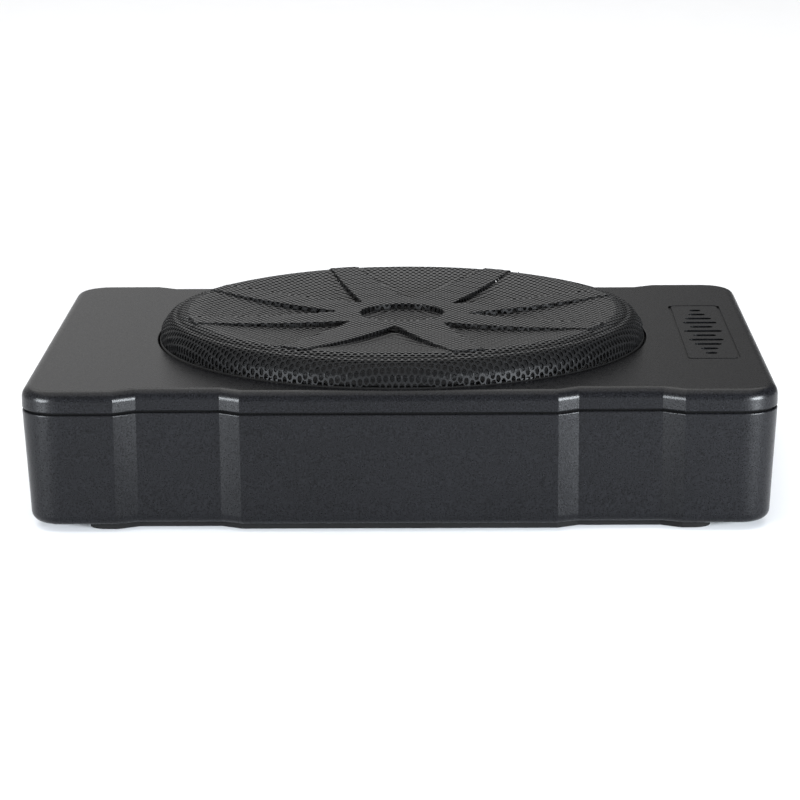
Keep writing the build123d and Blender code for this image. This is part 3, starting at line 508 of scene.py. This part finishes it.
def turned(profile, name, look, start=0.0, end=360.0, steps=144):
    """A closed half-section, in millimetres, swept round Z from start to end."""
    whole = end - start >= 360
    turns = np.radians(np.linspace(start, end, steps + 1)[: steps if whole else None])
    n = len(profile)
    points = [
        (r * math.cos(t) * MM, r * math.sin(t) * MM, z * MM) for t in turns for r, z in profile
    ]
    faces = []
    for k in range(steps):
        here, there = k * n, ((k + 1) % len(turns)) * n
        for i in range(n):
            faces.append([here + i, there + i, there + (i + 1) % n, here + (i + 1) % n])
    if not whole:
        # the cut ends have points of their own, so that neighbouring sectors shade as one
        last = len(points)
        points += points[:n] + points[-n:]
        faces.append([last + i for i in range(n)])
        faces.append([last + n + i for i in reversed(range(n))])
    return add_mesh(name, points, faces, look)


perforated("grille_hub", 0, HUB_EDGE, FACE_HOLE_R)
perforated("grille_face", HUB_EDGE, CREST_R, FACE_HOLE_R)
perforated("grille_skirt", CREST_R, SKIRT_END, SKIRT_HOLE_R)
rim_section = [
    (GRILLE_R - SHEET, GRILLE_FOOT_Z),
    (GRILLE_R, GRILLE_FOOT_Z),
    (GRILLE_R, RIM_TOP_Z),
    (GRILLE_R - SHEET, RIM_TOP_Z),
]
rim = turned(rim_section, "grille_rim", "grille")
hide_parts("grille")
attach(rim, "enclosure")

# rubber surround and cloth suspension: each is cut into sectors, which lie between the enclosure and
# the cone
SECTORS = 12
SECTOR_STEPS = 12


def bending_ring(name, profile, look, node):
    """Sectors of a ring, made in place of the model's part, which is hidden."""
    width = 360 / SECTORS
    for k in range(SECTORS):
        start, end = k * width, (k + 1) * width
        piece = turned(profile, f"{name}_{k + 1:02d}", look, start, end, SECTOR_STEPS)
        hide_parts(node)
        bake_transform(piece)


low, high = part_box("surround")
LAND_Z = low.z / MM
ROLL_TOP = high.z / MM
ROLL_R, ROLL_W, RUBBER = 98.0, 10.0, 1.2
INNER_LIP, OUTER_LIP = 84, 113
arch = np.radians(np.linspace(180, 0, 17))
upper = [
    (
        ROLL_R + ROLL_W * math.cos(t),
        LAND_Z + RUBBER + (ROLL_TOP - LAND_Z - RUBBER) * math.sin(t),
    )
    for t in arch
]
lower = [
    (ROLL_R + (ROLL_W - 1) * math.cos(t), LAND_Z + (ROLL_TOP - LAND_Z - RUBBER) * math.sin(t))
    for t in arch
]
roll = [
    (INNER_LIP, LAND_Z),
    (INNER_LIP, LAND_Z + RUBBER),
    *upper,
    (OUTER_LIP, LAND_Z + RUBBER),
    (OUTER_LIP, LAND_Z),
    *reversed(lower),
]
bending_ring(
    "surround_sector", roll, "rubber", "surround"
)

low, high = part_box("spider")
SPIDER_Z = low.z / MM
CLOTH = 0.6
SPIDER_OUTER, FOLD_OUTER, FOLD_INNER = 71, 62, 25.6
FOLD_MIDDLE, FOLD_HEIGHT, FOLD_WAVE = 1.1, 1.0, 8  # wave: from crest to crest
radii = np.linspace(FOLD_OUTER, FOLD_INNER, 74)
fold = [
    (r, SPIDER_Z + FOLD_MIDDLE + FOLD_HEIGHT * math.cos((r - FOLD_OUTER) * math.tau / FOLD_WAVE))
    for r in radii
]
wave = [(SPIDER_OUTER, SPIDER_Z + 0.1), (FOLD_OUTER + 0.6, SPIDER_Z + 0.1), *fold]
cloth = [*wave, *[(r, z + CLOTH) for r, z in reversed(wave)]]
bending_ring(
    "spider_sector", cloth, "cloth", "spider"
)


# ---- Floor, light and camera ---------------------------------------------------

floor_mesh = bpy.data.meshes.new("floor")
SIDE = 30.0
floor_mesh.from_pydata(
    [(-SIDE, -SIDE, 0), (SIDE, -SIDE, 0), (SIDE, SIDE, 0), (-SIDE, SIDE, 0)], [], [[0, 1, 2, 3]]
)
floor = bpy.data.objects.new("floor", floor_mesh)
bpy.context.scene.collection.objects.link(floor)
floor_material = surface(
    "pale_floor", (0.84, 0.85, 0.87), rough=0.8, grain=60, relief=0.0, wander=0.005
)
floor_mesh.materials.append(floor_material)
FLOOR_GAP = 0.0002
floor.location.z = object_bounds()[0][2] - FLOOR_GAP


def soft_light(name, size, place, aim, power, colour):
    """A rectangular softbox that faces a point, with its power in watts."""
    light = bpy.data.lights.new(name, "AREA")
    light.shape = "RECTANGLE"
    light.size, light.size_y = size
    light.energy = power
    light.color = colour
    lamp = bpy.data.objects.new(name, light)
    lamp.location = place
    lamp.rotation_euler = (Vector(aim) - Vector(place)).to_track_quat("-Z", "Y").to_euler()
    bpy.context.scene.collection.objects.link(lamp)


WARM, COOL = (1.0, 0.99, 0.97), (0.9, 0.95, 1.0)
BOX = (0.45, 0.22)
soft_light("overhead", (3.8, 5.1), (-0.2, 1.2, 2.6), (-0.2, 1.2, 0), 115, WARM)
soft_light("left_box", BOX, (-0.75, -0.62, 0.125), (-0.1, -0.13, 0.04), 19, COOL)
soft_light("right_box", BOX, (0.78, -0.68, 0.125), (0.1, -0.13, 0.04), 33, COOL)

world = bpy.data.worlds.new("studio")
bpy.context.scene.world = world
world.use_nodes = True
sky, sky_links = world.node_tree.nodes, world.node_tree.links
ray = sky.new("ShaderNodeTexCoord")
split = sky.new("ShaderNodeSeparateXYZ")
sky_links.new(ray.outputs["Generated"], split.inputs["Vector"])
# the sky is brighter towards the left than towards the right
sides = sky.new("ShaderNodeMapRange")
sides.interpolation_type = "SMOOTHSTEP"
sides.inputs["From Min"].default_value = 0.16
sides.inputs["From Max"].default_value = -0.16
sides.inputs["To Min"].default_value = 0.15
sides.inputs["To Max"].default_value = 0.62
sky_links.new(split.outputs["X"], sides.inputs["Value"])
sky_links.new(sides.outputs["Result"], sky["Background"].inputs["Strength"])
sky["Background"].inputs["Color"].default_value = (1, 1, 1, 1)
bpy.context.scene.view_settings.view_transform = "Standard"

# the lens, place and turns were fitted to the photograph's outline
camera_data = bpy.data.cameras.new("camera")
camera_data.lens = 136.74
camera_data.clip_end = 200
camera = bpy.data.objects.new("camera", camera_data)
YAW, PITCH_DOWN, ROLL = math.radians(-0.885), math.radians(13.41), math.radians(-0.412)
camera.location = (0.02275, -1.56205, 0.40767)
facing = Matrix.Rotation(-YAW, 4, "Z") @ Matrix.Rotation(math.pi / 2 - PITCH_DOWN, 4, "X")
camera.rotation_euler = (facing @ Matrix.Rotation(ROLL, 4, "Z")).to_euler()
bpy.context.scene.collection.objects.link(camera)
bpy.context.scene.camera = camera
